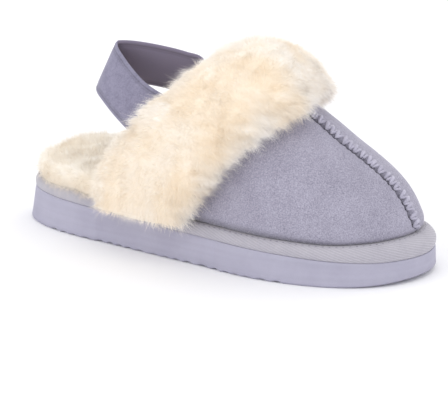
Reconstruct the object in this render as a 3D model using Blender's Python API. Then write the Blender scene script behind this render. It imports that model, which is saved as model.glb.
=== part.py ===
"""A child's slip-on slipper: foam outsole, tape wrap, suede upper, pile cuff, pile insole and elastic
back strap.

It is the slipper for the right foot, standing empty on its sole. In the foot frame the heel's back is
at x = 0 and the toe at x = SOLE_LENGTH, +y is the inner (medial) side of the foot and z = 0 is the
floor. An empty carries the pieces so that the world origin lies on the floor under the middle of the
slipper. Sizes are in millimetres and the finished meshes in metres.
"""

import bmesh
import bpy
import numpy as np

MM = 0.001
GAP = 0.3  # between pieces that touch
SOLE_LENGTH = 215.0
AXIS_Y = 4.0  # from the foot's axis to the middle of the slipper's width

# Outsole: wall heights, how far its top edge leans in, tread waves and toe spring
TREAD_WAVE = 7.0
TREAD_DEPTH = 0.9
TREAD_FROM, TREAD_TO = 22.0, 162.0
SPRING_FROM = 180.0
TOE_SPRING = 2.1
EDGE_ROUND = 0.8
WAIST_FROM, WAIST_TO = 52.5, 128.0  # recessed panel in the side
WAIST_EDGE = 3.5
WAIST_STEP = 0.5

# Platform wrap
WRAP_WIDTH = 11.0  # from the sole's edge to its inner wall

# Upper
WALL = 2.0
ARCH_POWER = 2.35  # 2 is an ellipse, more is fuller
ARCH_BACK = 50.0  # where its arch is first defined, behind the topline
SEAM_WIDTH = 5.2
SEAM_HEIGHT = 1.8
SEAM_MOST = 0.6  # most of the half width that the seam may take at the toe
SEAM_FADE = 0.12  # share of the rows over which it sinks into the toe
TOPLINE_FOOT, TOPLINE_TOP = 67.0, 118.0
THROAT_CURVE = 1.75  # how far the throat's edge dips behind a straight line
TOE_TRIM = 0.02  # its last row stops just short of the foremost point

# Cuff
CUFF_FRONT_FOOT, CUFF_FRONT_TOP = 106.0, 152.0
CUFF_BACK_FOOT, CUFF_BACK_TOP = 58.0, 110.0
CUFF_OVERHANG_FRONT, CUFF_OVERHANG_BACK = 7.0, 4.0  # how far the pile swells past those edges
PILE, FOOT_PILE = 12.0, 8.5  # thickness under the locks, over the instep and at the sole
EDGE_PILE = 2.4  # thickness at its front and back edges
LIP = 2.3  # how far its turned edge lies inside the upper's outer face
LIP_BACK = 2.5  # how far the turned edge lies ahead of the back edge
CUFF_CLEAR = 0.4  # its backing's distance from the upper
CUFF_SEWN = 2.0  # from the front edge back to the line where it is sewn down
CUFF_HANG = 5.0  # how far the pile hangs over the edge of the wrap
HANG_PILE = (5.5, 10.0)  # the pile's thickness where it starts to hang, and where it hangs in full
HANG_SHARE = 0.25  # share of the cuff's height from which it hangs
LOCK_SIZES = (2.0, 4.5)
LOCK_LEAN = 3.5

# Insole
BED_DROP = 0.15  # how far the bed's middle lies below its rim, as a share of the pile
BED_EDGE = 18.0
CLUMP = 1.6

# Strap
STRAP_WIDTH = 25.0
STRAP_THICK = 1.8
FOOT_MIDDLE = (90.0, -2.0, 0.0)  # a point inside the loop

SEED = 7


def table(names, *rows):
    """A short table as a dictionary of columns."""
    return {name: np.array(column, float) for name, column in zip(names, zip(*rows))}


OUTLINE = table(
    ("share", "lateral", "medial"),
    (0.00, 0.0, 0.0),
    (0.03, 13.9, 14.1),
    (0.12, 24.5, 24.7),
    (0.30, 31.8, 28.0),
    (0.50, 38.0, 30.2),
    (0.70, 42.9, 36.6),
    (0.85, 37.3, 35.5),
    (0.94, 26.0, 26.5),
    (0.985, 12.0, 16.0),
    (1.00, -2.3, 2.3),
)
SIDE = table(
    ("share", "sole_top", "lean", "wrap", "upper_inset"),
    (0.00, 16.7, 2.4, 5.5, 5.0),
    (0.20, 15.9, 1.8, 5.5, 4.2),
    (0.45, 14.6, 1.2, 5.5, 3.9),
    (0.75, 13.2, 0.7, 5.5, 3.9),
    (0.85, 12.2, 0.6, 6.0, 4.3),
    (0.93, 11.5, 0.5, 7.5, 5.0),
    (1.00, 11.2, 0.4, 8.5, 6.3),
)
RIDGE = table(
    ("x", "height"),
    (50.0, 82.0),
    (108.0, 84.0),
    (120.0, 85.0),
    (130.0, 84.0),
    (140.0, 80.6),
    (150.0, 75.2),
    (160.0, 68.6),
    (170.0, 61.2),
    (180.0, 54.6),
    (190.0, 47.6),
    (197.5, 41.0),
    (204.0, 32.0),
    (207.2, 25.0),
)
SEAM = table(
    ("x", "y"),
    (100.0, -4.0),
    (155.0, -4.0),
    (215.0, 2.6),
)
INSOLE = table(
    ("share", "rim", "pile"),
    (0.00, 1.2, 10.5),
    (0.06, 1.0, 12.0),
    (0.13, 1.0, 14.0),
    (0.17, 1.6, 14.5),
    (0.22, 7.6, 12.0),
    (0.30, 7.4, 7.5),
    (0.45, 7.1, 5.5),
    (0.85, 7.8, 5.0),
    (1.00, 11.2, 4.5),
)
STRAP = table(
    ("x", "y", "z", "lean"),
    (104.0, -22.4, 56.0, 24.0),
    (94.0, -20.8, 58.8, 24.0),
    (82.0, -19.6, 61.8, 22.0),
    (70.5, -18.0, 66.2, 22.0),
    (60.4, -14.3, 71.4, 22.0),
    (51.2, -9.2, 76.2, 23.0),
    (45.4, -4.8, 79.0, 24.0),
    (43.4, -0.4, 80.2, 24.0),
    (45.4, 4.2, 80.8, 23.0),
    (53.0, 7.6, 80.8, 22.0),
    (63.0, 9.2, 80.2, 21.0),
    (75.0, 10.0, 79.0, 20.0),
    (84.0, 10.2, 77.8, 20.0),
    (92.0, 10.1, 76.6, 22.0),
    (99.5, 9.6, 72.4, 36.0),
    (106.0, 9.1, 68.2, 46.0),
)


def through(known, values, at):
    """Smooth curve through table rows: a cubic between each two, with slopes from their neighbours."""
    at = np.clip(at, known[0], known[-1])
    slope = np.gradient(values, known)
    i = np.clip(np.searchsorted(known, at) - 1, 0, len(known) - 2)
    span = known[i + 1] - known[i]
    t = (at - known[i]) / span
    rise = 3 * t**2 - 2 * t**3
    bend = t * (1 - t) ** 2 * slope[i] - t**2 * (1 - t) * slope[i + 1]
    return values[i] * (1 - rise) + values[i + 1] * rise + span * bend


def side(column, x):
    """A value of the SIDE table at a distance from the heel."""
    return through(SIDE["share"], SIDE[column], np.asarray(x, float) / SOLE_LENGTH)


def ramp(value, start, end):
    """0 before start, 1 after end and a smooth rise between them."""
    t = np.clip((value - start) / (end - start), 0, 1)
    return t * t * (3 - 2 * t)


def turn_at(x):
    """The outline's angle at a distance from the heel: 0 at the heel, pi at the toe."""
    return np.arccos(np.clip(1 - 2 * np.asarray(x, float) / SOLE_LENGTH, -1, 1))


def outline(turn, inset=0.0):
    """Points of the sole's outline in plan. It runs 0 to pi along the lateral side and on to 2 pi back
    along the medial side, and is moved inwards along its normal by the inset."""

    def point(at):
        at = np.mod(at, 2 * np.pi)
        folded = np.where(at <= np.pi, at, 2 * np.pi - at)
        rows = np.arccos(1 - 2 * OUTLINE["share"])
        lateral = through(rows, OUTLINE["lateral"], folded)
        medial = through(rows, OUTLINE["medial"], folded)
        return np.stack([SOLE_LENGTH / 2 * (1 - np.cos(at)), np.where(at <= np.pi, -lateral, medial)], -1)

    step = 0.01
    along = point(turn + step) - point(turn - step)
    along /= np.linalg.norm(along, axis=-1, keepdims=True)
    inward = np.stack([-along[..., 1], along[..., 0]], -1)
    return point(turn) + inward * np.asarray(inset, float)[..., None]


def loop_turns(stations):
    """The outline's angles at a list of distances from the heel, round both sides and with no double
    points."""
    turns = turn_at(stations)
    return np.concatenate([turns, 2 * np.pi - turns[-2:0:-1]])


def ends_rounded(start, end, count):
    """Distances along the sole, closer together towards its two ends."""
    return SOLE_LENGTH / 2 * (1 - np.cos(np.linspace(turn_at(start), turn_at(end), count)))


def spring(x):
    """How far the sole's underside lifts towards the toe."""
    return TOE_SPRING * (np.clip(x - SPRING_FROM, 0, None) / (SOLE_LENGTH - SPRING_FROM)) ** 2


def wrap_top(x):
    """Height of the wrap's upper edge."""
    return side("sole_top", x) + GAP + side("wrap", x)


class Surface:
    """Collects points and faces, then becomes one named object with its own material."""

    def __init__(self):
        self.points = []
        self.faces = []

    def grid(self, points):
        """Adds a grid of points, and gives their numbers."""
        start = sum(len(block) for block in self.points)
        self.points.append(np.reshape(points, (-1, 3)))
        return start + np.arange(points[..., 0].size).reshape(points.shape[:-1])

    def skin(self, rows):
        """Faces between neighbouring points of a grid of point numbers. Where two corners are one
        point, the face has three."""
        corners = [rows[:-1, :-1], rows[1:, :-1], rows[1:, 1:], rows[:-1, 1:]]
        self.faces += [list(dict.fromkeys(face)) for face in np.stack(corners, -1).reshape(-1, 4).tolist()]

    def build(self, name, color, roughness, parent):
        mesh = bpy.data.meshes.new(name)
        mesh.from_pydata((np.concatenate(self.points) * MM).tolist(), [], self.faces)
        work = bmesh.new()
        work.from_mesh(mesh)
        bmesh.ops.remove_doubles(work, verts=work.verts, dist=0.01 * MM)
        bmesh.ops.triangulate(work, faces=work.faces)
        bmesh.ops.recalc_face_normals(work, faces=work.faces)
        work.to_mesh(mesh)
        work.free()
        mesh.shade_smooth()
        material = bpy.data.materials.new(name)
        material.use_nodes = True
        shader = material.node_tree.nodes["Principled BSDF"]
        shader.inputs["Base Color"].default_value = (*color, 1.0)
        shader.inputs["Roughness"].default_value = roughness
        shader.inputs["Metallic"].default_value = 0.0
        mesh.materials.append(material)
        piece = bpy.data.objects.new(name, mesh)
        bpy.context.scene.collection.objects.link(piece)
        piece.parent = parent
        return piece


def closed_rows(numbers):
    """A grid whose last column joins its first."""
    return np.concatenate([numbers, numbers[:, :1]], axis=1)


def outsole(parent):
    """A foam wedge: wavy tread across the sole, a plain land under heel and ball, and a recessed waist."""
    waves = np.arange(TREAD_FROM, TREAD_TO + 0.1, TREAD_WAVE / 4)
    stations = np.concatenate(
        [
            ends_rounded(0, TREAD_FROM, 9)[:-1],
            waves,
            np.linspace(TREAD_TO, SPRING_FROM, 4)[1:],
            ends_rounded(SPRING_FROM, SOLE_LENGTH, 12)[1:],
        ]
    )
    turns = loop_turns(stations)
    x = SOLE_LENGTH / 2 * (1 - np.cos(turns))
    in_tread = (x > TREAD_FROM - 0.1) & (x < TREAD_TO + 0.1)
    wave = TREAD_DEPTH / 2 * (1 - np.cos(2 * np.pi * (x - TREAD_FROM) / TREAD_WAVE))
    floor = spring(x) + np.where(in_tread, wave, 0.0)
    top = side("sole_top", x)
    in_waist = ramp(x, WAIST_FROM, WAIST_FROM + WAIST_EDGE) * ramp(x, WAIST_TO, WAIST_TO - WAIST_EDGE)
    recess = WAIST_STEP * in_waist
    lean = side("lean", x)
    rings = (
        (EDGE_ROUND, floor),
        (0.0, floor + EDGE_ROUND),
        (lean * 0.5, (floor + top) / 2),
        (lean, top - EDGE_ROUND / 2),
        (lean + EDGE_ROUND / 2, top),
    )
    sole = Surface()
    rows = [sole.grid(np.column_stack([outline(turns, recess + inset), z])) for inset, z in rings]
    sole.skin(closed_rows(np.stack(rows)))
    last = len(stations) - 1
    for ring in (rows[0], rows[-1]):
        lateral = ring[: last + 1]
        medial = np.concatenate([ring[:1], ring[:last:-1], ring[last : last + 1]])
        sole.skin(np.stack([lateral, medial]))
    return sole.build("outsole", (0.46, 0.44, 0.55), 0.6, parent)


def wrap(parent):
    """A tape ring on the outsole: rounded outside, flat on top where the upper stands, straight inside."""
    turns = loop_turns(ends_rounded(0, SOLE_LENGTH, 44))
    x = SOLE_LENGTH / 2 * (1 - np.cos(turns))
    edge = side("lean", x)
    depth = side("upper_inset", x) - edge
    foot = side("sole_top", x) + GAP
    tall = side("wrap", x)
    section = table(
        ("depth", "height"),
        (0.30, 0.00),
        (0.00, 0.22),
        (-0.04, 0.45),
        (0.16, 0.72),
        (0.50, 0.93),
        (0.88, 1.00),
    )
    rings = [
        np.column_stack([outline(turns, edge + depth * inward), foot + tall * height])
        for inward, height in zip(section["depth"], section["height"])
    ]
    inner = outline(turns, np.full_like(x, WRAP_WIDTH))
    rings += [np.column_stack([inner, foot + tall]), np.column_stack([inner, foot]), rings[0]]
    tape = Surface()
    tape.skin(closed_rows(tape.grid(np.stack(rings))))
    return tape.build("platform_wrap", (0.50, 0.48, 0.56), 0.85, parent)


def foot_line(inward=0.0):
    """The upper's lower edge just above the wrap, from heel to toe to heel, and the number of its
    foremost point."""
    turns = np.linspace(0, 2 * np.pi, 721)
    beside = outline(turns)[:, 0]
    line = np.column_stack([outline(turns, side("upper_inset", beside) + inward), wrap_top(beside) + GAP])
    return line, np.argmax(line[:, 0])


def arch(x, angle, inward=0.0):
    """The upper's outer face. At each distance from the heel the angle goes from the lateral foot (0)
    over the ridge (a quarter turn) to the medial foot (half a turn). Inward moves the whole face in,
    for the lining side. Across and up it is a superellipse, and its ridge height is read along a share
    that slows towards the toe."""
    line, tip = foot_line(inward)
    toe = line[tip, 0]
    lateral, medial = line[: tip + 1], line[tip:][::-1]
    foot = np.where(angle <= np.pi / 2, np.interp(x, *lateral.T[:2]), np.interp(x, *medial.T[:2]))
    ledge = np.interp(x, lateral[:, 0], lateral[:, 2])
    outer_toe = foot_line()[0][:, 0].max()
    rows = np.append(1 - np.sqrt((outer_toe - RIDGE["x"]) / (outer_toe - ARCH_BACK)), 1.0)
    rise = np.append(RIDGE["height"] - inward - wrap_top(RIDGE["x"]) - GAP, 0.0)
    share = 1 - np.sqrt(np.clip((toe - x) / (toe - ARCH_BACK), 0, 1))
    height = np.clip(through(rows, rise, share), 0, None)
    middle = seam_line(x)
    across = np.abs(np.cos(angle)) ** (2 / ARCH_POWER)
    return np.stack([x, middle + (foot - middle) * across, ledge + height * height_share(angle)], -1)


def seam_line(x):
    """Where the centre seam runs: a little to the lateral side at the throat, on the tip at the toe."""
    return np.interp(x, SEAM["x"], SEAM["y"])


def outward(x, angle):
    """Unit normals of the arch, from its slopes along the foot and around it."""
    small_x, small_turn = 0.4, 0.02
    before, after = np.clip(angle - small_turn, 0, np.pi), np.clip(angle + small_turn, 0, np.pi)
    around = arch(x, after) - arch(x, before)
    along = arch(x + small_x, angle) - arch(x - small_x, angle)
    normal = np.cross(along, around)
    return normal / np.linalg.norm(normal, axis=-1, keepdims=True)


def height_share(angle):
    """How far up the arch an angle lies, from 0 at its feet to 1 on the ridge."""
    return np.sin(np.clip(angle, 0, np.pi)) ** (2 / ARCH_POWER)


def topline(angle):
    """Where the throat's edge lies: near the heel at the foot of the sides, over the instep at the
    ridge."""
    return TOPLINE_FOOT + (TOPLINE_TOP - TOPLINE_FOOT) * height_share(angle) ** THROAT_CURVE


def upper_face(inward, seam_height):
    """Grid of points over the upper's face: rows from the topline to the toe, closer near the toe, and
    columns from the lateral foot over the seam to the medial foot. The seam's three middle columns are
    lifted off the face."""
    flank, crest = np.linspace(0, 1, 10), np.array([0.55, 0.0])
    climb = np.append(flank, np.ones_like(crest))
    seam_share = np.append(np.ones_like(flank), crest)
    toe = foot_line(inward)[0][:, 0].max() - TOE_TRIM
    back = np.linspace(1, 0, 27)[:, None]
    x = toe - (toe - topline(np.pi / 2 * climb)) * back**2
    halves = []
    for foot in (0.0, np.pi):
        half_width = np.abs(arch(x, np.full_like(x, foot), inward)[..., 1] - seam_line(x))
        seam_edge = np.minimum(SEAM_WIDTH / 2 / half_width, SEAM_MOST)
        halves.append(np.abs(foot - climb * np.arccos((seam_edge * seam_share) ** (ARCH_POWER / 2))))
    angle = np.concatenate([halves[0], halves[1][:, -2::-1]], axis=1)
    x = np.concatenate([x, x[:, -2::-1]], axis=1)
    lift = np.zeros(x.shape)
    middle = x.shape[1] // 2
    seam_x = x[:, middle : middle + 1]
    past_cuff = ramp(seam_x, CUFF_FRONT_TOP - CUFF_SEWN, CUFF_FRONT_TOP + CUFF_OVERHANG_FRONT)
    lift[:, middle - 1 : middle + 2] = seam_height * ramp(back, 0.0, SEAM_FADE) * past_cuff
    return arch(x, angle, inward) + outward(x, angle) * lift[..., None]


def upper(parent):
    """One hollow shell, open at the throat and underneath, with the raised seam as a step in its wall."""
    shell = Surface()
    faces = [shell.grid(upper_face(0.0, SEAM_HEIGHT)), shell.grid(upper_face(WALL, 0.0))]
    for face in faces:
        shell.skin(face)
    rim = [np.concatenate([face[:, 0], face[-1, 1:], face[-2::-1, -1], face[0, -2::-1]]) for face in faces]
    shell.skin(np.stack(rim))
    return shell.build("upper", (0.39, 0.38, 0.47), 0.95, parent)


def cuff(parent):
    """A band of pile turned out over the throat. Its inner face follows the upper, its turned edge
    covers the topline, and its outer face carries locks: every second point is drawn out and leans to
    the nearer edge."""
    random = np.random.default_rng(SEED)
    angle = np.linspace(0.004, np.pi - 0.004, 57)[:, None]
    high = height_share(angle)
    front = CUFF_FRONT_FOOT + (CUFF_FRONT_TOP - CUFF_FRONT_FOOT) * high
    back = CUFF_BACK_FOOT + (CUFF_BACK_TOP - CUFF_BACK_FOOT) * high**THROAT_CURVE
    edge = topline(angle) - CUFF_CLEAR
    sewn = front - CUFF_SEWN
    under = sewn + (edge - sewn) * np.linspace(0, 1, 8)
    inner_x = np.hstack([under, edge, back + LIP_BACK])
    inner_lift = np.append(np.full(under.shape[1], CUFF_CLEAR), [-LIP, -LIP]) * np.ones_like(angle)
    share = (1 - np.cos(np.linspace(0, np.pi, 15))) / 2
    toward_front = 2 * share - 1
    overhang = np.where(toward_front > 0, CUFF_OVERHANG_FRONT, CUFF_OVERHANG_BACK)
    outer_x = back + (front - back) * share + overhang * toward_front
    puff = np.sqrt(1 - np.abs(toward_front) ** 3)
    outer_lift = EDGE_PILE + (FOOT_PILE + (PILE - FOOT_PILE) * high) * puff
    x = np.hstack([inner_x, outer_x])
    lift = np.hstack([inner_lift, outer_lift])
    angles = angle * np.ones_like(x)
    i, j = np.indices(x.shape)
    first, last = inner_x.shape[1], x.shape[1] - 1
    is_lock = (j > first) & (j < last) & (i > 0) & (i < len(angle) - 1) & ((i + j) % 2 == 0)
    lock = np.where(is_lock, random.uniform(*LOCK_SIZES, x.shape), 0.0)
    lean = np.append(np.zeros(first), toward_front) * LOCK_LEAN
    points = arch(x, angles) + outward(x, angles) * (lift + lock)[..., None]
    points[..., 0] += np.where(is_lock, lean, 0.0)
    points[..., 2] -= CUFF_HANG * ramp(lift + lock, *HANG_PILE) * ramp(high, HANG_SHARE, 0.0)
    pile = Surface()
    numbers = pile.grid(points)
    pile.skin(closed_rows(numbers))
    pile.faces += [numbers[0].tolist(), numbers[-1].tolist()]
    return pile.build("cuff", (0.90, 0.79, 0.66), 0.95, parent)


def insole(parent):
    """A footbed pad inside the wrap with a clumped pile top: a swelling rim, highest beside the heel,
    round a bed that is a little lower. Every second point of the bed is drawn up as a clump."""
    random = np.random.default_rng(SEED)
    stations = ends_rounded(0, SOLE_LENGTH, 36)
    turns = turn_at(stations)
    share = stations / SOLE_LENGTH
    rim = through(INSOLE["share"], INSOLE["rim"], share)
    pile = through(INSOLE["share"], INSOLE["pile"], share)
    ledge = wrap_top(stations) + GAP
    levels = (
        (WRAP_WIDTH + GAP, side("sole_top", stations) + GAP),
        (WRAP_WIDTH + GAP, ledge),
        (rim, ledge),
        (rim - 0.5, ledge + 0.35 * pile),
        (rim + 1.5, ledge + 0.8 * pile),
        (rim + 5.0, ledge + pile),
    )
    sides = []
    for turn in (turns, 2 * np.pi - turns):
        sides.append([np.column_stack([outline(turn, d * np.ones_like(turn)), z]) for d, z in levels])
    lateral, medial = sides
    across = np.linspace(0, 1, 9)[1:-1, None, None]
    bed = lateral[-1] + (medial[-1] - lateral[-1]) * across
    i, j = np.indices(bed.shape[:2])
    dish = BED_DROP * pile * np.sin(np.pi * across[..., 0])
    clump = np.where((i + j) % 2 == 0, random.uniform(0.4, 1.0, i.shape) * CLUMP, 0.0)
    from_end = np.minimum(stations, SOLE_LENGTH - stations)
    bed[..., 2] += (clump - dish) * ramp(from_end, 0.0, BED_EDGE)
    pad = Surface()
    pad.skin(closed_rows(pad.grid(np.stack(lateral + list(bed) + medial[::-1], axis=1))))
    return pad.build("insole", (0.82, 0.72, 0.60), 0.95, parent)


def strap(parent):
    """A flat elastic band looped round the heel's back, leaning in at its top, with both ends inside
    the cuff."""
    along = np.linspace(0, 1, 49)
    row = np.linspace(0, 1, len(STRAP["x"]))
    centre = np.column_stack([through(row, STRAP[axis], along) for axis in ("x", "y", "z")])
    lean = np.radians(through(row, STRAP["lean"], along))
    run = np.gradient(centre, axis=0)
    run[:, 2] = 0
    run /= np.linalg.norm(run, axis=1, keepdims=True)
    inwards = np.column_stack([-run[:, 1], run[:, 0], np.zeros(len(along))])
    inwards *= np.sign(np.sum(inwards * (np.array(FOOT_MIDDLE) - centre), axis=1, keepdims=True))
    up = np.array([0.0, 0.0, 1.0])
    rise = inwards * np.sin(lean)[:, None] + up * np.cos(lean)[:, None]
    face = up * np.sin(lean)[:, None] - inwards * np.cos(lean)[:, None]
    corners = [
        centre + rise * STRAP_WIDTH * a + face * STRAP_THICK * b
        for a, b in ((-0.5, -0.5), (0.5, -0.5), (0.5, 0.5), (-0.5, 0.5))
    ]
    band = Surface()
    numbers = band.grid(np.stack(corners, axis=1))
    band.skin(closed_rows(numbers))
    band.faces += [numbers[0].tolist(), numbers[-1].tolist()]
    return band.build("back_strap", (0.30, 0.29, 0.39), 0.8, parent)


for item in list(bpy.data.objects):
    bpy.data.objects.remove(item, do_unlink=True)
slipper = bpy.data.objects.new("slipper", None)
slipper.location = (-SOLE_LENGTH / 2 * MM, AXIS_Y * MM, 0.0)
bpy.context.scene.collection.objects.link(slipper)
for make in (outsole, wrap, upper, cuff, insole, strap):
    make(slipper)
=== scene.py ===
"""Looks of the slipper: the fine shape and finish of each piece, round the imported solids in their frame.

Shapes are worked out in the foot frame, in millimetres: the heel's back is at x = 0, the toe at
x = SOLE_LENGTH, +y is the inner (medial) side of the foot and z = 0 is the floor.
"""

import bmesh
import bpy
import numpy as np
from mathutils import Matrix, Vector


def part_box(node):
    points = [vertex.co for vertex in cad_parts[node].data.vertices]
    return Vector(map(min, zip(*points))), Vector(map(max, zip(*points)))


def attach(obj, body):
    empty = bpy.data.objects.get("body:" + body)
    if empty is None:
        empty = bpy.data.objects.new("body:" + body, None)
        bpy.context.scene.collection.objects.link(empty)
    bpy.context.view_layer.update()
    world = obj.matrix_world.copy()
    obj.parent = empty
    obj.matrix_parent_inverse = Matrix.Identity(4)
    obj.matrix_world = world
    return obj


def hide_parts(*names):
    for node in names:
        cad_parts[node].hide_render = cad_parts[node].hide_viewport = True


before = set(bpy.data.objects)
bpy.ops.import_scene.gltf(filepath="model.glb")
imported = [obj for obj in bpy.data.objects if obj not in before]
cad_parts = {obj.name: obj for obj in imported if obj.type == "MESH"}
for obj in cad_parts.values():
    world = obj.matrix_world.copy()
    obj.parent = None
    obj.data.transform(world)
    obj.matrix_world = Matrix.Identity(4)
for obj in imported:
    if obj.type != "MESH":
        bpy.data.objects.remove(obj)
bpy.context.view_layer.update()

# Outsole
# One moulded unit of matt closed-cell foam, a wedge that is thicker under the heel, with a wavy tread.
# Its side has a shallow recessed panel in the waist, and the mould has left faint flow marks in the foam.

MM = 0.001
WELD = 0.002  # points closer than this are one
SOLE_LENGTH = 215.0
FOOT_ORIGIN = (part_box("outsole")[0].x / MM, 4.0, 0.0)  # the heel's back in the part's frame


def columns(names, *rows):
    """A short table as a dictionary of columns."""
    return {name: np.array(column, float) for name, column in zip(names, zip(*rows))}


OUTLINE = columns(
    ("share", "lateral", "medial"),
    (0.00, 0.0, 0.0),
    (0.03, 13.9, 14.1),
    (0.12, 24.5, 24.7),
    (0.30, 31.8, 28.0),
    (0.50, 38.0, 30.2),
    (0.70, 42.9, 36.6),
    (0.85, 37.3, 35.5),
    (0.94, 26.0, 26.5),
    (0.985, 12.0, 16.0),
    (1.00, -2.3, 2.3),
)
SIDE = columns(
    ("share", "sole_top", "lean", "wrap", "upper_inset"),
    (0.00, 16.7, 2.4, 5.5, 5.0),
    (0.20, 15.9, 1.8, 5.5, 4.2),
    (0.45, 14.6, 1.2, 5.5, 3.9),
    (0.75, 13.2, 0.7, 5.5, 3.9),
    (0.85, 12.2, 0.6, 6.0, 4.3),
    (0.93, 11.5, 0.5, 7.5, 5.0),
    (1.00, 11.2, 0.4, 8.5, 6.3),
)


def through(known, values, at):
    """Smooth curve through table rows: a cubic between each two, with slopes from their neighbours."""
    at = np.clip(at, known[0], known[-1])
    slope = np.gradient(values, known)
    i = np.clip(np.searchsorted(known, at) - 1, 0, len(known) - 2)
    span = known[i + 1] - known[i]
    t = (at - known[i]) / span
    rise = 3 * t**2 - 2 * t**3
    bend = t * (1 - t) ** 2 * slope[i] - t**2 * (1 - t) * slope[i + 1]
    return values[i] * (1 - rise) + values[i + 1] * rise + span * bend


def side(column, x):
    """A value of the SIDE table at a distance from the heel."""
    return through(SIDE["share"], SIDE[column], x / SOLE_LENGTH)


def ramp(value, start, end):
    """0 before start, 1 after end and a smooth rise between them."""
    t = np.clip((value - start) / (end - start), 0, 1)
    return t * t * (3 - 2 * t)


def bump(value, middle, width):
    """A bell curve of height 1."""
    return np.exp(-(((value - middle) / width) ** 2))


def unit(vectors):
    """Vectors divided by their lengths."""
    return vectors / np.linalg.norm(vectors, axis=-1, keepdims=True)


def from_heel(turn):
    """Distance from the heel at a turn round the outline."""
    return SOLE_LENGTH / 2 * (1 - np.cos(turn))


def outline(turn, inset):
    """The sole's outline in plan, moved inwards along its normal. The turn runs from 0 at the heel along
    the lateral side to pi at the toe, and on to 2 pi along the medial side; x is a half cosine of it."""

    def point(at):
        at = np.mod(at, 2 * np.pi)
        folded = np.where(at <= np.pi, at, 2 * np.pi - at)
        rows = np.arccos(1 - 2 * OUTLINE["share"])
        lateral = through(rows, OUTLINE["lateral"], folded)
        medial = through(rows, OUTLINE["medial"], folded)
        return np.stack([from_heel(at), np.where(at <= np.pi, -lateral, medial)], -1)

    along = unit(point(turn + 0.01) - point(turn - 0.01))
    inward = np.stack([-along[..., 1], along[..., 0]], -1)
    return point(turn) + inward * np.broadcast_to(inset, turn.shape)[..., None]


def turns_round(stations):
    """Turns at distances from the heel, along the lateral side and back along the medial one."""
    turns = np.arccos(np.clip(1 - 2 * stations / SOLE_LENGTH, -1, 1))
    return np.concatenate([turns, 2 * np.pi - turns[-2:0:-1]])


def add_mesh(name, points, faces, material, uv=None, marks=None, weld=True):
    """A smooth mesh object from points in the foot frame that rides the part. Welding joins points in one
    place and turns the faces outwards. Uv is a place on the cloth map for each face corner, and marks are
    values at the points for the material to read."""
    mesh = bpy.data.meshes.new(name)
    mesh.from_pydata(((points.reshape(-1, 3) + FOOT_ORIGIN) * MM).tolist(), [], faces.tolist())
    if uv is not None:
        mesh.uv_layers.new(name="cloth").data.foreach_set("uv", uv.ravel())
    for mark, values in (marks or {}).items():
        mesh.attributes.new(mark, "FLOAT", "POINT").data.foreach_set("value", values.ravel())
    if weld:
        work = bmesh.new()
        work.from_mesh(mesh)
        bmesh.ops.remove_doubles(work, verts=work.verts, dist=WELD * MM)
        bmesh.ops.recalc_face_normals(work, faces=work.faces)
        work.to_mesh(mesh)
        work.free()
    mesh.shade_smooth()
    mesh.materials.append(material)
    piece = bpy.data.objects.new(name, mesh)
    bpy.context.scene.collection.objects.link(piece)
    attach(piece, "root")
    return piece


def cell_corners(grid):
    """The four corners of each cell of a grid, in turn round the cell."""
    return np.stack([grid[..., :-1, :-1], grid[..., :-1, 1:], grid[..., 1:, 1:], grid[..., 1:, :-1]], -1)


def closed(grid):
    """A ring's grid with its first column again at the end."""
    return np.concatenate([grid, grid[:, :1]], axis=1)


def make_piece(name, points, material, ring=False, uv=None, marks=None):
    """A mesh with a face in each cell of a grid; a ring's last column is joined to its first."""
    numbers = np.arange(points[..., 0].size).reshape(points.shape[:2])
    faces = cell_corners(closed(numbers) if ring else numbers).reshape(-1, 4)
    if uv is not None:
        uv = np.stack([cell_corners(uv[..., 0]), cell_corners(uv[..., 1])], -1)
    return add_mesh(name, points, faces, material, uv, marks)


def paint(red, green, blue):
    """A linear colour from display values of 0 to 255."""
    shown = np.array([red, green, blue]) / 255
    return (*np.where(shown <= 0.04045, shown / 12.92, ((shown + 0.055) / 1.055) ** 2.4), 1.0)


def put(tree, kind, inputs, **settings):
    """Adds a shader node; an input is a value or another node's output."""
    node = tree.nodes.new("ShaderNode" + kind)
    for name, value in settings.items():
        setattr(node, name, value)
    for name, value in inputs.items():
        if isinstance(value, bpy.types.NodeSocket):
            tree.links.new(value, node.inputs[name])
        else:
            node.inputs[name].default_value = value
    return node


def new_finish(name, constants):
    """A material, its node tree and its Principled shader, with sockets that are the same all over."""
    material = bpy.data.materials.new(name)
    material.use_nodes = True
    shader = material.node_tree.nodes["Principled BSDF"]
    for socket, value in constants.items():
        shader.inputs[socket].default_value = value
    return material, material.node_tree, shader


def new_effect(name, inputs, outputs):
    """An empty shader node group with named sockets, and the outputs of its input node."""
    tree = bpy.data.node_groups.new(name, "ShaderNodeTree")
    for socket, kind in inputs.items():
        tree.interface.new_socket(socket, in_out="INPUT", socket_type="NodeSocket" + kind)
    for socket, kind in outputs.items():
        tree.interface.new_socket(socket, in_out="OUTPUT", socket_type="NodeSocket" + kind)
    return tree, tree.nodes.new("NodeGroupInput").outputs, tree.nodes.new("NodeGroupOutput")


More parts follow.
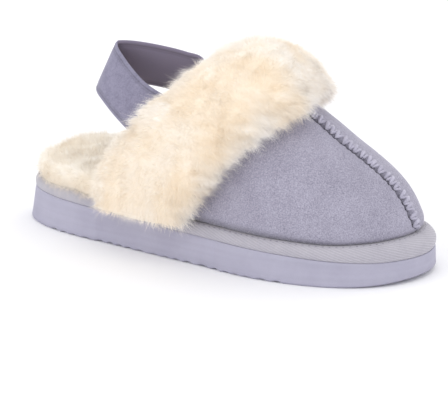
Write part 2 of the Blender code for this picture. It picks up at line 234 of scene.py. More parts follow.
# Mottle: broad soft patches and a fine grain, both noise in the piece's own space.
mottle, taken, given = new_effect(
    "mottle",
    {"Dark": "Color", "Light": "Color", "Patches": "Float", "Grain": "Float", "Grain Share": "Float"},
    {"Color": "Color", "Height": "Float"},
)
place = put(mottle, "TexCoord", {}).outputs["Object"]
patches = put(mottle, "TexNoise", {
    "Vector": place, "Scale": taken["Patches"], "Detail": 3.0, "Roughness": 0.6,
})
grain = put(mottle, "TexNoise", {
    "Vector": place, "Scale": taken["Grain"], "Detail": 4.0, "Roughness": 0.7,
})
share = put(mottle, "Mix", {
    "Factor": taken["Grain Share"], "A": patches.outputs["Fac"], "B": grain.outputs["Fac"],
})
sharp = put(mottle, "MapRange", {"Value": share.outputs["Result"], "From Min": 0.3, "From Max": 0.7})
mixed = put(mottle, "Mix", {"Factor": sharp.outputs["Result"]}, data_type="RGBA")
mottle.links.new(taken["Dark"], mixed.inputs[6])
mottle.links.new(taken["Light"], mixed.inputs[7])
mottle.links.new(mixed.outputs[2], given.inputs["Color"])
mottle.links.new(grain.outputs["Fac"], given.inputs["Height"])


def scaled(tree, colour, factor):
    """A colour made darker or lighter by a factor."""
    return put(tree, "VectorMath", {0: colour, "Scale": factor}, operation="SCALE").outputs[0]


def dress(tree, shader, colour, relief=None):
    """Leads a colour, and the normals of a bump, into a shader."""
    tree.links.new(colour, shader.inputs["Base Color"])
    if relief:
        tree.links.new(relief.outputs["Normal"], shader.inputs["Normal"])


def put_effect(tree, effect, inputs):
    """Places a node group in a material."""
    node = put(tree, "Group", {}, node_tree=effect)
    for name, value in inputs.items():
        node.inputs[name].default_value = value
    return node


foam, tree, shader = new_finish("sole_foam", {"Roughness": 0.62, "Specular IOR Level": 0.35})
skin = put_effect(tree, mottle, {
    "Dark": paint(157, 155, 173), "Light": paint(168, 166, 183),
    "Patches": 55.0, "Grain": 900.0, "Grain Share": 0.25,
})
where = put(tree, "TexCoord", {}).outputs["Object"]
drawn = put(tree, "Mapping", {"Vector": where, "Scale": (12.0, 12.0, 420.0)})
flow = put(tree, "TexNoise", {"Vector": drawn.outputs["Vector"], "Scale": 1.0, "Detail": 2.0})
faint = put(tree, "MapRange", {"Value": flow.outputs["Fac"], "From Min": 0.3, "From Max": 0.7,
                               "To Min": 0.955, "To Max": 1.03})
streaked = scaled(tree, skin.outputs["Color"], faint.outputs["Result"])
pores = put(tree, "Bump", {"Height": skin.outputs["Height"], "Strength": 0.12, "Distance": 0.0004})
streaks = put(tree, "Bump", {"Height": flow.outputs["Fac"], "Normal": pores.outputs["Normal"],
                             "Strength": 0.25, "Distance": 0.0004})
dress(tree, shader, streaked, streaks)

SOLE_STATIONS = 361
TREAD_WAVE, TREAD_DEPTH = 7.0, 0.75
TREAD_FROM, TREAD_TO, TREAD_FADE = 22.0, 162.0, 2.0
SPRING_FROM, TOE_SPRING = 180.0, 2.1
EDGE_ROUND, TOP_ROUND = 1.3, 0.5
WAIST_FROM, WAIST_TO, WAIST_EDGE, WAIST_STEP = 52.5, 128.0, 3.5, 0.5


def sole_floor(x):
    """Height of the sole's underside: waves of uneven pitch and depth, and the lift of the toe."""
    phase = (x - TREAD_FROM) / TREAD_WAVE + 0.16 * np.sin(x / 5.3) + 0.12 * np.sin(x / 11.0)
    wave = TREAD_DEPTH / 2 * (1 - np.cos(2 * np.pi * phase)) * (0.8 + 0.2 * np.sin(x / 8.1))
    within = ramp(x, TREAD_FROM, TREAD_FROM + TREAD_FADE) * ramp(x, TREAD_TO, TREAD_TO - TREAD_FADE)
    lift = TOE_SPRING * (np.clip(x - SPRING_FROM, 0, None) / (SOLE_LENGTH - SPRING_FROM)) ** 2
    return wave * within + lift


def sole_points():
    """Rows from the middle of the underside out to its edge, up the wall and in to the middle of the top.
    The wall leans in a little, is rounded at both edges, and steps in at the waist."""
    turns = turns_round(from_heel(np.linspace(0, np.pi, SOLE_STATIONS)))
    x = from_heel(turns)
    low, top, lean = sole_floor(x), side("sole_top", x), side("lean", x)
    recess = WAIST_STEP * ramp(x, WAIST_FROM, WAIST_FROM + WAIST_EDGE)
    recess *= ramp(x, WAIST_TO, WAIST_TO - WAIST_EDGE)
    rows = []
    for corner in np.radians((0, 22, 45, 68, 90)):
        rows.append((EDGE_ROUND * (1 - np.sin(corner)), low + EDGE_ROUND * (1 - np.cos(corner))))
    for share in (0.3, 0.5, 0.7, 0.9):
        rows.append((lean * share, low + (top - low) * share))
    for corner in np.radians((20, 55, 90)):
        rows.append((lean + TOP_ROUND * (1 - np.cos(corner)), top - TOP_ROUND * (1 - np.sin(corner))))
    rows = [np.column_stack([outline(turns, recess + inset), z]) for inset, z in rows]
    mirrored = (-np.arange(len(turns))) % len(turns)
    middle, top_middle = ((row + row[mirrored]) / 2 for row in (rows[0], rows[-1]))
    under = [middle + (rows[0] - middle) * share for share in (0.0, 0.25, 0.5, 0.75)]
    return np.stack(under + rows + [top_middle])


outsole = make_piece("sole_unit", sole_points(), foam, ring=True)
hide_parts("outsole")

# Platform wrap
# A bias-cut twill tape, drawn round the footbed's edge and cemented down on the outsole.
# It is rolled over at the toe, where its edge stands higher.

WRAP_WIDTH = 11.0
GAP = 0.3
WRAP_STATIONS, WRAP_ROWS = 281, 33
WRAP_FACE = 16  # the row along the middle of the tape's face
TAPE_WALE = 3.9
CLOTH_MAP = 700.0  # millimetres in one unit of a cloth map


def wrap_top(x):
    """Height of the wrap's upper edge."""
    return side("sole_top", x) + GAP + side("wrap", x)


def lengths(points, axis):
    """Distance along a grid from its first row or column."""
    step = np.linalg.norm(np.diff(points, axis=axis), axis=-1)
    first = np.zeros_like(np.take(step, [0], axis=axis))
    return np.cumsum(np.concatenate([first, step], axis=axis), axis=axis)


WRAP_SECTION = columns(
    ("depth", "height"),
    (0.34, -0.05),
    (0.12, -0.03),
    (0.01, 0.09),
    (-0.04, 0.36),
    (0.03, 0.58),
    (0.22, 0.77),
    (0.50, 0.93),
    (0.88, 1.00),
    (1.30, 1.00),
)


def wrap_points():
    """The tape's section, a roll as deep as the upper stands in from the sole's edge, carried round."""
    turns = turns_round(from_heel(np.linspace(0, np.pi, WRAP_STATIONS)))
    x = from_heel(turns)
    edge, foot, tall = side("lean", x), side("sole_top", x) + GAP, side("wrap", x)
    depth = side("upper_inset", x) - edge
    row = np.arange(len(WRAP_SECTION["depth"]))
    fine = np.linspace(0, row[-1], WRAP_ROWS)
    inward, height = (through(row, WRAP_SECTION[name], fine) for name in ("depth", "height"))
    rings = [
        np.column_stack([outline(turns, edge + depth * d), foot + tall * h]) for d, h in zip(inward, height)
    ]
    inner = outline(turns, WRAP_WIDTH)
    rings += [np.column_stack([inner, foot + tall]), np.column_stack([inner, foot]), rings[0]]
    return np.stack(rings)


# Twill: diagonal wales of rounded section, from the cloth map, with a little thread noise.
twill, taken, given = new_effect(
    "twill", {"Wales": "Float", "Slant": "Float", "Threads": "Float"}, {"Height": "Float"}
)
cloth = put(twill, "UVMap", {}, uv_map="cloth").outputs["UV"]
axes = put(twill, "SeparateXYZ", {"Vector": cloth}).outputs
slanted = put(twill, "Math", {0: axes["Y"], 1: taken["Slant"], 2: axes["X"]}, operation="MULTIPLY_ADD")
angle = put(twill, "Math", {0: slanted.outputs[0], 1: taken["Wales"]}, operation="MULTIPLY")
wale = put(twill, "Math", {0: angle.outputs[0]}, operation="SINE")
threads = put(twill, "TexNoise", {"Vector": cloth, "Scale": taken["Threads"], "Detail": 2.0})
ridges = put(twill, "MapRange", {"Value": wale.outputs[0], "From Min": -1.0, "From Max": 1.0})
cover = put(twill, "Mix", {"Factor": 0.3, "A": ridges.outputs["Result"], "B": threads.outputs["Fac"]})
twill.links.new(cover.outputs["Result"], given.inputs["Height"])

tape, tree, shader = new_finish("wrap_tape", {
    "Roughness": 0.85, "Sheen Weight": 0.25, "Sheen Roughness": 0.5,
})
weave = put_effect(tree, twill, {
    "Wales": 2 * np.pi * CLOTH_MAP / TAPE_WALE, "Slant": 3.1, "Threads": 900.0,
})
tone = put_effect(tree, mottle, {
    "Dark": paint(164, 161, 172), "Light": paint(181, 178, 187),
    "Patches": 90.0, "Grain": 1500.0, "Grain Share": 0.5,
})
shade = put(tree, "MapRange", {"Value": weave.outputs["Height"], "To Min": 0.82, "To Max": 1.05})
toned = scaled(tree, tone.outputs["Color"], shade.outputs["Result"])
relief = put(tree, "Bump", {"Height": weave.outputs["Height"], "Strength": 0.55, "Distance": 0.0003})
dress(tree, shader, toned, relief)

ring_points = wrap_points()
ring_closed = closed(ring_points)
round_face = lengths(ring_closed, 1)[WRAP_FACE][None] * np.ones((len(ring_points), 1))
tape_map = np.stack([round_face, lengths(ring_closed, 0)], -1) / CLOTH_MAP
wrap = make_piece("wrap_tape", ring_points, tape, ring=True, uv=tape_map)
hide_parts("platform_wrap")

# Upper
# Imitation suede in two panels, closed by a raised whip-stitched seam from the throat to the toe.
# Its lower edge is turned in and lasted on to the footbed inside the tape.

WALL = 2.0
ARCH_POWER, ARCH_BACK = 2.35, 50.0
SEAM_NEAR, SEAM_FAR, SEAM_HEIGHT = -2.7, 3.4, 1.7
SEAM_REACH = 4.8  # the fine columns lie this near to the seam
FLANK = 99.0  # the distance from the seam that is given to all columns further off
TOPLINE_FOOT, TOPLINE_TOP, THROAT_CURVE = 67.0, 118.0, 1.75
STITCH = 3.6  # pitch of the whip stitches
SEWN_FROM, SEWN_TO = 146.0, 156.0  # where the seam's ridge comes out from under the cuff
RIDGE = columns(
    ("x", "height"),
    (50.0, 82.0),
    (108.0, 84.0),
    (120.0, 85.0),
    (130.0, 84.0),
    (140.0, 80.6),
    (150.0, 75.2),
    (160.0, 68.6),
    (170.0, 61.2),
    (180.0, 54.6),
    (190.0, 47.6),
    (197.5, 41.0),
    (204.0, 32.0),
    (207.2, 25.0),
)
SEAM = columns(("x", "y"), (100.0, -4.0), (155.0, -4.0), (215.0, 2.6))
FOLDS = columns(
    ("rise", "x", "slant", "wide", "above", "tall"),
    (-0.6, 176.0, 0.35, 7.0, 14.0, 8.0),
    (-0.5, 128.0, -0.3, 6.0, 16.0, 9.0),
    (0.4, 150.0, 0.1, 9.0, 18.0, 9.0),
)


def foot_line(inward):
    """The upper's lower edge above the wrap, from heel to toe to heel, and its foremost point's number."""
    turns = np.linspace(0, 2 * np.pi, 721)
    beside = from_heel(turns)
    plan = outline(turns, side("upper_inset", beside) + inward)
    return np.column_stack([plan, wrap_top(beside) + GAP]), np.argmax(plan[:, 0])


TOE_TIP = foot_line(0.0)[0][:, 0].max()


def seam_line(x):
    """Where the centre seam runs across the foot."""
    return np.interp(x, SEAM["x"], SEAM["y"])


def height_share(angle):
    """How far up the arch an angle lies, from 0 at its feet to 1 on the ridge."""
    return np.sin(np.clip(angle, 0, np.pi)) ** (2 / ARCH_POWER)


def arch(x, angle, inward=0.0):
    """The upper's face: at each distance from the heel a superellipse over the foot, from the lateral
    foot (angle 0) over the ridge to the medial foot (pi). The ridge's height is read along a share that
    slows to the toe."""
    line, tip = foot_line(inward)
    lateral, medial = line[: tip + 1], line[tip:][::-1]
    foot = np.where(angle <= np.pi / 2, np.interp(x, *lateral.T[:2]), np.interp(x, *medial.T[:2]))
    ledge = np.interp(x, lateral[:, 0], lateral[:, 2])
    toe, outer_toe = line[tip, 0], TOE_TIP
    rows = np.append(1 - np.sqrt((outer_toe - RIDGE["x"]) / (outer_toe - ARCH_BACK)), 1.0)
    rise = np.append(RIDGE["height"] - inward - wrap_top(RIDGE["x"]) - GAP, 0.0)
    share = 1 - np.sqrt(np.clip((toe - x) / (toe - ARCH_BACK), 0, 1))
    height = np.clip(through(rows, rise, share), 0, None)
    middle = seam_line(x)
    across = np.abs(np.cos(angle)) ** (2 / ARCH_POWER)
    return np.stack([x, middle + (foot - middle) * across, ledge + height * height_share(angle)], -1)


def arch_frame(x, angle):
    """Unit vectors on the arch, along the foot and outwards, from steps that are shorter at the toe."""
    before, after = np.clip(angle - 0.02, 0, np.pi), np.clip(angle + 0.02, 0, np.pi)
    step = np.clip((TOE_TIP - x) * 0.6, 0.01, 0.4)
    along = unit(arch(x + step, angle) - arch(x - step, angle))
    return along, unit(np.cross(along, arch(x, after) - arch(x, before)))


def topline(angle):
    """Where the throat's edge lies: near the heel at the arch's feet, over the instep at the ridge."""
    return TOPLINE_FOOT + (TOPLINE_TOP - TOPLINE_FOOT) * height_share(angle) ** THROAT_CURVE


def seam_run(x):
    """Length along the ridge from the throat, for the pitch of the stitches."""
    stations = TOE_TIP - (TOE_TIP - TOPLINE_TOP) * np.linspace(1, 0, 400) ** 2
    ridge = arch(stations, np.full_like(stations, np.pi / 2))
    return np.interp(x, stations, lengths(ridge[None], 1)[0])


def stitch_slip(place):
    """How far each stitch slips along the seam from an even pitch: a slow wave of the stitch's number."""
    return 0.6 * np.sin(1.9 * place / STITCH)


def seam_ridge(off):
    """Height across the seam: steep on its stitched lateral side and a long roll on the other."""
    return SEAM_HEIGHT * ramp(off, SEAM_NEAR - 0.3, SEAM_NEAR + 1.7) * ramp(off, SEAM_FAR, SEAM_FAR - 4.2)


def vamp_face(inward, rows, flank_columns, fine):
    """Rows from the topline to the toe, closer near the toe, and columns from the lateral foot over the
    seam to the medial foot. The outer face adds the seam's ridge, pinched at each stitch, with a crease
    along its lateral side, the turned lower edge, and soft troughs where the vamp bends. Also gives the
    painted shade at each point, darkest in the crease, in the gaps between stitches and along the turned
    lower edge."""
    flank = np.linspace(0, 1, flank_columns)
    crest = np.linspace(1, 0, fine)
    climb = np.append(flank, np.ones(fine - 1))
    beside = np.append(np.ones(flank_columns), crest[1:])
    toe = foot_line(inward)[0][:, 0].max() - 0.02
    back = np.linspace(1, 0, rows)[:, None]
    x = toe - (toe - topline(np.pi / 2 * climb)) * back**2
    halves, offsets = [], []
    for foot, sign in ((0.0, -1), (np.pi, 1)):
        half = np.abs(arch(x, np.full_like(x, foot), inward)[..., 1] - seam_line(x))
        share = np.minimum(SEAM_REACH / np.maximum(half, 0.01), 0.6) * beside
        halves.append(np.abs(foot - climb * np.arccos(share ** (ARCH_POWER / 2))))
        offsets.append(sign * np.where(climb < 1, FLANK, share * half))
    angle = np.concatenate([halves[0], halves[1][:, -2::-1]], axis=1)
    off = np.concatenate([offsets[0], offsets[1][:, -2::-1]], axis=1)
    x = np.concatenate([x, x[:, -2::-1]], axis=1)
    face = arch(x, angle, inward)
    if inward:
        return face, np.zeros_like(x)
    out = arch_frame(x, angle)[1]
    sewn = ramp(x, SEWN_FROM, SEWN_TO) * ramp(back, 0.0, 0.05)
    place = seam_run(x) + 0.5 * off
    pinch = np.cos(2 * np.pi * (place - stitch_slip(place)) / STITCH)
    ridge = seam_ridge(off) * (1 - 0.22 * pinch * ramp(off, 0.8, -1.4))
    crease = bump(off, SEAM_NEAR - 0.35 + 0.35 * pinch, 0.85)
    between = (0.5 - 0.5 * pinch) * bump(off, SEAM_NEAR + 0.7, 0.9)
    above = face[..., 2] - face[:, :1, 2]
    turned = bump(above, 0.0, 1.1)
    soft = np.zeros_like(x)
    for rise, middle, slant, wide, height, tall in zip(*FOLDS.values()):
        soft += rise * bump(x + slant * above, middle, wide) * bump(above, height, tall)
    soft *= np.abs(off) >= FLANK
    lift = (ridge - 1.1 * crease) * sewn - turned + 0.35 * bump(above, 4.5, 2.6) + soft
    # Painted shade: the crease beside the seam, the gaps between the stitches and the turned lower edge are
    # marked to be painted darker.
    shaded = (crease * (0.85 - 0.15 * pinch) + 0.3 * between) * sewn + 0.45 * turned
    return face + out * lift[..., None], np.clip(shaded, 0, 1)


def shell(outer, inner):
    """A wall as one closed grid: the outer face, then the inner one from its last row back to its first,
    so that the two meet at the throat and the toe; their side edges are drawn together."""
    edges = [(outer[:, at] + inner[:, at]) / 2 for at in (slice(0, 1), slice(-1, None))]
    outer, inner = (np.concatenate([edges[0], face, edges[1]], axis=1) for face in (outer, inner))
    return np.concatenate([outer, inner[::-1], outer[:1]])


suede, tree, shader = new_finish("suede", {"Roughness": 0.95, "Sheen Weight": 0.8, "Sheen Roughness": 0.3,
                                           "Specular IOR Level": 0.15})
shader.inputs["Sheen Tint"].default_value = paint(232, 230, 240)
nap = put_effect(tree, mottle, {
    "Dark": paint(116, 113, 129), "Light": paint(184, 181, 198),
    "Patches": 60.0, "Grain": 1700.0, "Grain Share": 0.83,
})
# The crease mark is painted shade: it darkens the nap down to half in the seam's crease, between the
# stitches and along the turned lower edge.
folded = put(tree, "Attribute", {}, attribute_name="crease").outputs["Fac"]
dim = put(tree, "MapRange", {"Value": folded, "To Min": 1.0, "To Max": 0.5})
crease_shaded_nap = scaled(tree, nap.outputs["Color"], dim.outputs["Result"])
brushed = put(tree, "Bump", {"Height": nap.outputs["Height"], "Strength": 0.6, "Distance": 0.0005})
dress(tree, shader, crease_shaded_nap, brushed)

vamp_size = {"rows": 230, "flank_columns": 36, "fine": 19}
faces = [vamp_face(inward, **vamp_size) for inward in (0.0, WALL)]
vamp = make_piece("vamp", shell(faces[0][0], faces[1][0]), suede,
                  marks={"crease": shell(faces[0][1][..., None], faces[1][1][..., None])})
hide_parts("upper")

# Whip stitches
# A thick soft thread, sewn up and back over the lateral side of the centre seam in slanting stitches.
# They lie like a braid, and pull the suede into a tuck beside them.

STITCHED_FROM = 150.0  # where the stitches come out from under the cuff

thread, tree, shader = new_finish("seam_thread", {"Roughness": 0.8, "Sheen Weight": 0.3})
ply = put_effect(tree, mottle, {
    "Dark": paint(146, 143, 161), "Light": paint(192, 189, 206),
    "Patches": 300.0, "Grain": 1600.0, "Grain Share": 0.5,
})
dress(tree, shader, ply.outputs["Color"])


def tubes(paths, radius, sides):
    """Tubes along many paths at once: at each point a circle across the path, its frame turned from the
    path's own direction, drawn to a point at both ends. Gives a grid of points and sides for each path."""
    run = unit(np.gradient(paths, axis=1))
    up = unit(np.cross(run, np.roll(run, 1, axis=-1) + (0.3, 0.1, 0.2)))
    other = np.cross(run, up)
    spin = np.linspace(0, 2 * np.pi, sides, endpoint=False)
    swell = np.sin(np.linspace(0.0, np.pi, paths.shape[1])) ** 0.4
    circle = np.cos(spin)[:, None] * up[:, :, None] + np.sin(spin)[:, None] * other[:, :, None]
    return paths[:, :, None] + circle * (radius * swell)[:, None, None]


def make_tubes(name, grids, material):
    """One mesh from a stack of tube grids."""
    numbers = np.arange(grids[..., 0].size).reshape(grids.shape[:3])
    numbers = np.concatenate([numbers, numbers[:, :, :1]], axis=2)
    return add_mesh(name, grids, cell_corners(numbers).reshape(-1, 4), material)


def stitch_paths(slant, start, reach, seed):
    """Each stitch comes out of the crease and goes up over the seam's lateral side, slanting back to the
    heel or, with a slant below 0, to the toe. Start moves the row along by a share of the pitch."""
    stations = TOE_TIP - (TOE_TIP - STITCHED_FROM) * np.linspace(1, 0.02, 900) ** 2
    run = seam_run(stations)
    first = np.ceil(run[0] / STITCH) * STITCH
    middle = np.arange(first, run[-1] - 3.0, STITCH)[:, None]
    middle += stitch_slip(middle) + start * STITCH
    t = np.linspace(-1, 1, 13)
    uneven = np.random.default_rng(seed).normal(0, 0.35, (len(middle), 2, 1))
    x = np.interp(middle - (slant + uneven[:, 0]) * t, run, stations)
    off = (SEAM_NEAR - 0.4) + (reach + uneven[:, 1]) * (t + 1) / 2
    half = np.abs(arch(x, np.where(off < 0, 0.0, np.pi))[..., 1] - seam_line(x))
    angle = np.arccos(np.clip(np.abs(off) / half, 0, 0.75) ** (ARCH_POWER / 2))
    angle = np.where(off < 0, angle, np.pi - angle)
    out = arch_frame(x, angle)[1]
    over = seam_ridge(off) + 0.15 - 0.9 * np.abs(t) ** 5
    return arch(x, angle) + out * over[..., None]


up = tubes(stitch_paths(slant=0.85, start=0.0, reach=3.6, seed=11), radius=0.95, sides=8)
back_down = tubes(stitch_paths(slant=-0.7, start=0.5, reach=2.5, seed=12), radius=0.7, sides=8)
stitches = make_tubes("whip_stitches", np.concatenate([up, back_down]), thread)

# Edge stitches
# A fine thread in small running stitches on the tape, all round just outside the vamp's foot. Its dark
# colour is painted shade, for the shade in the stitch holes.
# They hold the tape's turned edge down on the footbed.

EDGE_STITCH, EDGE_STEP, EDGE_SAG = 1.5, 3.1, 0.22
EDGE_OUT, EDGE_DEEP, EDGE_RADIUS = 0.9, 0.12, 0.26


def edge_paths():
    """A short path for each stitch along the tape's edge, its ends dipping into the cloth."""
    turns = np.linspace(0.0, 2 * np.pi, 2401)
    x = from_heel(turns)
    line = np.column_stack([outline(turns, side("upper_inset", x) - EDGE_OUT), wrap_top(x) - EDGE_DEEP])
    run = lengths(line[None], 1)[0]
    t = np.linspace(-1, 1, 5)
    spots = np.arange(1.0, run[-1], EDGE_STEP)[:, None] + EDGE_STITCH / 2 * t
    path = np.stack([np.interp(spots, run, line[:, axis]) for axis in range(3)], -1)
    return path - np.array([0.0, 0.0, EDGE_SAG]) * np.abs(t)[:, None] ** 2


# The thread is painted darker than the tape, as the shade in its stitch holes.
fine_thread, tree, shader = new_finish("edge_thread", {"Roughness": 0.8})
strand = put_effect(tree, mottle, {
    "Dark": paint(112, 108, 124), "Light": paint(140, 136, 152),
    "Patches": 200.0, "Grain": 1500.0, "Grain Share": 0.5,
})
dress(tree, shader, strand.outputs["Color"])
edge_stitches = make_tubes("edge_stitches", tubes(edge_paths(), EDGE_RADIUS, 5), fine_thread)

# Insole
# A soft footbed pad faced with deep cream pile on a knitted back, glued down on the sole inside the wrap.
# It swells over the wrap round the heel, where nothing holds it in.

INSOLE = columns(
    ("share", "rim", "pile"),
    (0.00, 1.2, 10.0),
    (0.06, 1.0, 12.3),
    (0.13, 1.0, 13.3),
    (0.17, 1.2, 13.3),
    (0.215, 2.0, 13.0),
    (0.26, 3.6, 12.4),
    (0.30, 6.8, 10.8),
    (0.33, 7.4, 9.4),
    (0.45, 7.1, 5.5),
    (0.85, 7.8, 5.0),
    (1.00, 11.2, 4.5),
)
RIM_ROUND, BED_DOME, HEEL_TILT, LOCK_HEIGHT = 3.0, 2.2, 2.8, 0.8
STRAND_BAND, STRAND_TAPER = 0.55, 0.8  # how far along a strand its band ends, and its width there


def grid_normals(grid, outward_hint):
    """Unit normals of a grid from its slopes, turned to the side of the hint."""
    normal = np.cross(np.gradient(grid, axis=0), np.gradient(grid, axis=1))
    normal /= np.linalg.norm(normal, axis=-1, keepdims=True) + 1e-9
    return normal * np.sign(np.sum(normal * outward_hint, axis=-1, keepdims=True) + 1e-9)


def wander(points, size, seed):
    """A smooth random vector field: six waves in random directions, of about the given length."""
    random = np.random.default_rng(seed)
    waves = unit(random.normal(size=(6, 3))) * 2 * np.pi / size * random.uniform(0.6, 1.5, (6, 1))
    phases = random.uniform(0, 2 * np.pi, (6, 3))
    return np.sin((points @ waves.T)[..., None] + phases).sum(axis=-2) / 2.4


def scatter(grid, density, count, random):
    """Random places on a grid, drawn by area and density. Gives a function that reads a field of the grid
    at those places by mixing each cell's four corners."""
    crossed = np.cross(grid[1:, 1:] - grid[:-1, :-1], grid[1:, :-1] - grid[:-1, 1:])
    weight = (np.linalg.norm(crossed, axis=-1) * density[:-1, :-1]).ravel()
    cell = random.choice(weight.size, count, p=weight / weight.sum())
    i, j = np.unravel_index(cell, crossed.shape[:2])
    f, g = random.random((2, count, 1))

    def read(field):
        field = field.reshape(*grid.shape[:2], -1)
        near = (1 - g) * field[i, j] + g * field[i, j + 1]
        far = (1 - g) * field[i + 1, j] + g * field[i + 1, j + 1]
        return (1 - f) * near + f * far

    return read


def make_pile(name, grid, normal, length, comb, tint, density, count, material, seed, wild=1.0):
    """Pile as fine flat tapering strands. Each stands on a random place of the grid, leaves along the
    normal leaned by the comb, a smooth random field and a little chance, and bends and droops with the
    square of its length. A few reach far past the rest. The flat side is turned up from the cloth; a band
    and a tip make a strand."""
    random = np.random.default_rng(seed)
    read = scatter(grid, density, count, random)
    root, up, long, lean, warm = (read(field) for field in (grid, normal, length, comb, tint))
    swirl = 0.26 * wander(root, 14.0, 3) + 0.12 * wander(root, 5.0, 4)
    warm = warm[:, 0] + 0.3 * wander(root, 17.0, 5)[:, 0] + random.normal(0, 0.12, count)
    heading = unit(0.7 * up + lean + wild * swirl + random.normal(0, 0.18, (count, 3)))
    chance = random.random((count, 1))
    reach = long * (0.5 + 0.5 * chance + 0.7 * chance**6)
    bend = random.normal(0, 0.2, (count, 3)) - (0.0, 0.0, 0.12)
    path = [root + reach * (heading * t + bend * t**2) for t in (0.0, STRAND_BAND, 1.0)]
    flat = unit(np.cross(heading, up) + 0.2 * random.normal(size=(count, 3)))
    half = flat * random.uniform(0.035, 0.065, (count, 1))
    band = STRAND_TAPER * half
    points = np.stack([path[0] - half, path[0] + half, path[1] - band, path[1] + band, path[2]], axis=1)
    faces = (np.arange(count) * 5)[:, None, None] + np.array([(0, 1, 3), (0, 3, 2), (2, 3, 4)])
    marks = {
        "along": np.tile((0.0, 0.0, STRAND_BAND, STRAND_BAND, 1.0), count),
        "warm": np.repeat(np.clip(warm, 0, 1), 5),
    }
    piece = add_mesh(name, points, faces.reshape(-1, 3), material, marks=marks, weld=False)


def pile_finish(name, root, warm, pale):
    """Pile that goes from its root's colour to a tip that is warmer in some locks and paler in others."""
    material, tree, shader = new_finish(name, {
        "Roughness": 0.9, "Specular IOR Level": 0.1, "Sheen Weight": 0.3, "Sheen Roughness": 0.5,
    })
    along = put(tree, "Attribute", {}, attribute_name="along").outputs["Fac"]
    heat = put(tree, "Attribute", {}, attribute_name="warm").outputs["Fac"]
    end = put(tree, "Mix", {"Factor": heat}, data_type="RGBA")
    end.inputs[6].default_value, end.inputs[7].default_value = paint(*pale), paint(*warm)
    fade = put(tree, "MapRange", {"Value": along, "From Min": 0.0, "From Max": 0.8}).outputs["Result"]
    colour = put(tree, "Mix", {"Factor": fade}, data_type="RGBA")
    colour.inputs[6].default_value = paint(*root)
    tree.links.new(end.outputs[2], colour.inputs[7])
    where = put(tree, "TexCoord", {}).outputs["Object"]
    fuzz = put(tree, "TexNoise", {"Vector": where, "Scale": 700.0, "Detail": 3.0})
    woolly = put(tree, "Bump", {"Height": fuzz.outputs["Fac"], "Strength": 0.4, "Distance": 0.0006})
    dress(tree, shader, colour.outputs[2], woolly)
    return material


def locks_of(points, stretch, small):
    """Heights of the soft locks that pile gathers into: two sizes of smooth noise, stretched along x."""
    points = points * (stretch, 1.0, 1.0)
    return 0.65 * wander(points, 21.0, 3)[..., 0] + small * wander(points, 8.0, 4)[..., 0]


def plush_marks(locks, tint):
    """The marks for a body of pile: its hollows take the darker, warmer root colour and its locks' tops the
    paler tip colour, partly as in the pile itself and partly as painted shade in the hollows.
    """
    return {"along": np.clip(0.55 + 0.35 * locks, 0, 1), "warm": np.clip(tint - 0.4 * locks, 0, 1)}


def insole_points(thin):
    """Sections across the pad at distances along the foot: up from inside the wrap, out over its edge to a
    swelling rim, and over a bed that is gently domed at the heel. Thin is the share of the pile's height
    that the pad takes."""
    stations = from_heel(np.linspace(0, np.pi, 141))
    turns = np.arccos(np.clip(1 - 2 * stations / SOLE_LENGTH, -1, 1))
    rim = through(INSOLE["share"], INSOLE["rim"], stations / SOLE_LENGTH)
    pile = through(INSOLE["share"], INSOLE["pile"], stations / SOLE_LENGTH) * thin
    ledge = wrap_top(stations) + GAP
    shrink = 2.2 * ramp(stations, 50.0, 36.0) + 2.5 * ramp(stations, 14.0, 0.0)
    levels = [(WRAP_WIDTH + GAP, side("sole_top", stations) + GAP), (WRAP_WIDTH + GAP, ledge)]
    for climb in np.radians(np.linspace(-50, 90, 11)):
        edge = rim + shrink + RIM_ROUND * (1 - np.cos(climb))
        levels.append((edge, ledge + pile * (0.45 + 0.55 * np.sin(climb))))
    halves = []
    for turn in (turns, 2 * np.pi - turns):
        halves.append([np.column_stack([outline(turn, d * np.ones_like(turn)), z]) for d, z in levels])
    lateral, medial = halves
    across = np.linspace(0, 1, 31)[1:-1, None, None]
    bed = lateral[-1] + (medial[-1] - lateral[-1]) * across
    from_end = np.minimum(stations, SOLE_LENGTH - stations)
    dome = BED_DOME * ramp(stations, 75.0, 50.0) - 0.5
    bed[..., 2] += dome * np.sin(np.pi * across[..., 0]) * ramp(from_end, 0.0, 18.0)
    return np.stack(lateral + list(bed) + medial[::-1], axis=1)


footbed_pile = pile_finish("footbed_pile", (233, 223, 207), (233, 221, 204), (243, 238, 230))
footbed_hairs = pile_finish("footbed_hairs", (238, 231, 219), (237, 226, 210), (245, 241, 235))


def rim_tint(points):
    """Warmth of the footbed's pile: low on the bed, high where it hangs over the rim."""
    return 0.2 + 0.7 * ramp(points[..., 2] - wrap_top(points[..., 0]), 10.0, 4.0)


pad = insole_points(0.95)
locks = locks_of(pad, 1.0, 0.4) * ramp(pad[..., 2], 18.0, 24.0)
tilt = (2 * ramp(pad[..., 1], -20.0, 20.0) - 1) * ramp(pad[..., 0], 2.0, 20.0)
tilt *= ramp(pad[..., 0], 80.0, 55.0)
pad[..., 2] += LOCK_HEIGHT * locks + HEEL_TILT * tilt * ramp(pad[..., 2], 20.0, 28.0)
insole = make_piece("footbed", pad, footbed_pile, ring=True, marks=plush_marks(locks, rim_tint(pad)))
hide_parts("insole")

